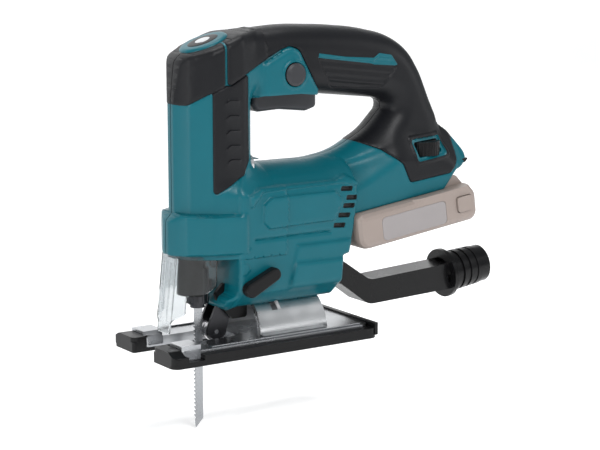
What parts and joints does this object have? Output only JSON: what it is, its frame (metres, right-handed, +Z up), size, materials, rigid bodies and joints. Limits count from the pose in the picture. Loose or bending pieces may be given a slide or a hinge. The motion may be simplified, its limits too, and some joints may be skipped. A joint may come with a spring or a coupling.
{
  "type": "jigsaw power tool",
  "caption": "Cordless jigsaw with a closed D-handle, orbital plunger drive, tilting sole with bevel saddle, rear battery and a dust nozzle.",
  "frame": {"origin": "centre of the sole's underside", "axes": "+Z up, -X is the cutting direction, +X the rear, +Y the tool's right side"},
  "size_m": [0.265, 0.077, 0.2513],
  "materials": {
    "shell_black": "fine matte grain",
    "shell_teal": "satin",
    "soft_grip": "matte",
    "steel": "ground",
    "dark_steel": "oiled",
    "aluminium": "satin",
    "copper": "enamelled wire",
    "bronze": "sintered",
    "board_green": "varnished",
    "clear": "clear moulded",
    "pack_taupe": "matte",
    "label_grey": "satin",
    "cell_wrap": "shrink wrap",
    "rim_black": "hard, fine grain"
  },
  "bodies": {
    "housing": {"housing_left": "shell_teal", "housing_right": "shell_teal", "front_grips": "soft_grip", "handle_grips": "soft_grip", "head_pad": "soft_grip", "head_cap": "shell_teal", "housing_screws": "steel", "gear_plate": "aluminium", "gear_axle": "steel", "axle_clip": "steel", "motor_bearings": "steel", "stator": "dark_steel", "stator_coils": "copper", "motor_bracket": "aluminium", "circuit_boards": "board_green", "switch_unit": "shell_black", "pivot_pins": "steel", "rail_receiver": "shell_black", "contact_block": "shell_black", "bevel_bolt": "steel", "dust_channel": "shell_black", "lamp_lens": "clear", "collar": "shell_teal", "dust_cover": "clear", "rating_plate": "aluminium", "roller_bracket": "steel"},
    "trigger": {"trigger": "shell_black"},
    "lock_button": {"lock_button": "shell_black"},
    "speed_dial": {"speed_dial": "shell_black"},
    "selector": {"selector_lever": "shell_black"},
    "rotor": {"rotor_core": "dark_steel", "rotor_shaft": "steel", "fan": "shell_black"},
    "drive_gear": {"drive_gear": "steel", "crank_pin": "steel"},
    "guide": {"guide_frame": "dark_steel", "guide_bushes": "bronze"},
    "plunger": {"plunger_rod": "steel", "blade_clamp": "dark_steel", "blade": "steel"},
    "clamp_sleeve": {"clamp_sleeve": "dark_steel"},
    "opener": {"opener": "shell_black"},
    "roller_holder": {"roller_holder": "dark_steel", "roller_pin": "steel"},
    "roller": {"guide_roller": "steel"},
    "base": {"base_plate": "aluminium", "bevel_saddle": "aluminium", "sole_cover": "rim_black", "saddle_screws": "steel"},
    "battery": {"battery_case": "pack_taupe", "battery_lid": "pack_taupe", "battery_cells": "cell_wrap", "battery_labels": "label_grey"},
    "battery_button_left": {"battery_button_left": "shell_black"},
    "battery_button_right": {"battery_button_right": "shell_black"},
    "nozzle": {"dust_nozzle": "rim_black", "nozzle_cuff": "rim_black"}
  },
  "joints": [
    {"name": "trigger_pull", "type": "hinge", "parent": "housing", "child": "trigger", "pos_m": [0.003, 0, 0.165], "axis": [0, -1, 0], "range_deg": [0, 6], "stiffness_Nm_per_rad": 0.9, "springref_deg": -17.19},
    {"name": "lock_push", "type": "slide", "parent": "housing", "child": "lock_button", "axis": [0, 1, 0], "range_m": [0, 0.0025], "stiffness_N_per_m": 400, "springref_m": -0.001},
    {"name": "speed_turn", "type": "hinge", "parent": "housing", "child": "speed_dial", "pos_m": [0.128, -0.014, 0.116], "axis": [0, 0, 1], "range_deg": [-120, 120]},
    {"name": "orbit_select", "type": "hinge", "parent": "housing", "child": "selector", "pos_m": [-0.009, -0.03, 0.045], "axis": [0, 1, 0], "range_deg": [-8, 60]},
    {"name": "rotor_spin", "type": "hinge", "parent": "housing", "child": "rotor", "pos_m": [0, 0, 0.084], "axis": [1, 0, 0], "continuous": true},
    {"name": "gear_spin", "type": "hinge", "parent": "housing", "child": "drive_gear", "pos_m": [0, 0, 0.1068], "axis": [1, 0, 0], "continuous": true},
    {"name": "orbit_swing", "type": "hinge", "parent": "housing", "child": "guide", "pos_m": [-0.0365, 0, 0.174], "axis": [0, 1, 0], "range_deg": [0, 1.2]},
    {"name": "stroke", "type": "slide", "parent": "guide", "child": "plunger", "axis": [0, 0, 1], "range_m": [-0.001, 0.022]},
    {"name": "clamp_twist", "type": "hinge", "parent": "plunger", "child": "clamp_sleeve", "pos_m": [-0.0365, 0, 0.04], "axis": [0, 0, 1], "range_deg": [0, 45], "stiffness_Nm_per_rad": 0.02, "springref_deg": -11.46},
    {"name": "opener_turn", "type": "hinge", "parent": "housing", "child": "opener", "pos_m": [-0.0365, 0, 0.048], "axis": [0, 0, 1], "range_deg": [0, 25], "stiffness_Nm_per_rad": 0.02, "springref_deg": -11.46},
    {"name": "roller_swing", "type": "hinge", "parent": "housing", "child": "roller_holder", "pos_m": [-0.02, 0, 0.033], "axis": [0, 1, 0], "range_deg": [0, 8.4]},
    {"name": "roller_spin", "type": "hinge", "parent": "roller_holder", "child": "roller", "pos_m": [-0.0266, 0, 0.011], "axis": [0, 1, 0], "continuous": true},
    {"name": "base_tilt", "type": "hinge", "parent": "housing", "child": "base", "pos_m": [0, 0, 0.01], "axis": [1, 0, 0], "range_deg": [-45, 45]},
    {"name": "battery_slide", "type": "slide", "parent": "housing", "child": "battery", "axis": [0.9914, 0, 0.1305], "range_m": [0, 0.08]},
    {"name": "latch_left", "type": "slide", "parent": "battery", "child": "battery_button_left", "axis": [0, 1, 0], "range_m": [0, 0.002], "stiffness_N_per_m": 400, "springref_m": -0.001},
    {"name": "latch_right", "type": "slide", "parent": "battery", "child": "battery_button_right", "axis": [0, -1, 0], "range_m": [0, 0.002], "stiffness_N_per_m": 400, "springref_m": -0.001},
    {"name": "nozzle_pull", "type": "slide", "parent": "housing", "child": "nozzle", "axis": [1, 0, 0], "range_m": [0, 0.03]}
  ],
  "couplings": [
    {"joint": "gear_spin", "follows": "rotor_spin", "ratio": -0.26667},
    {"joint": "roller_swing", "follows": "orbit_swing", "ratio": 7}
  ]
}
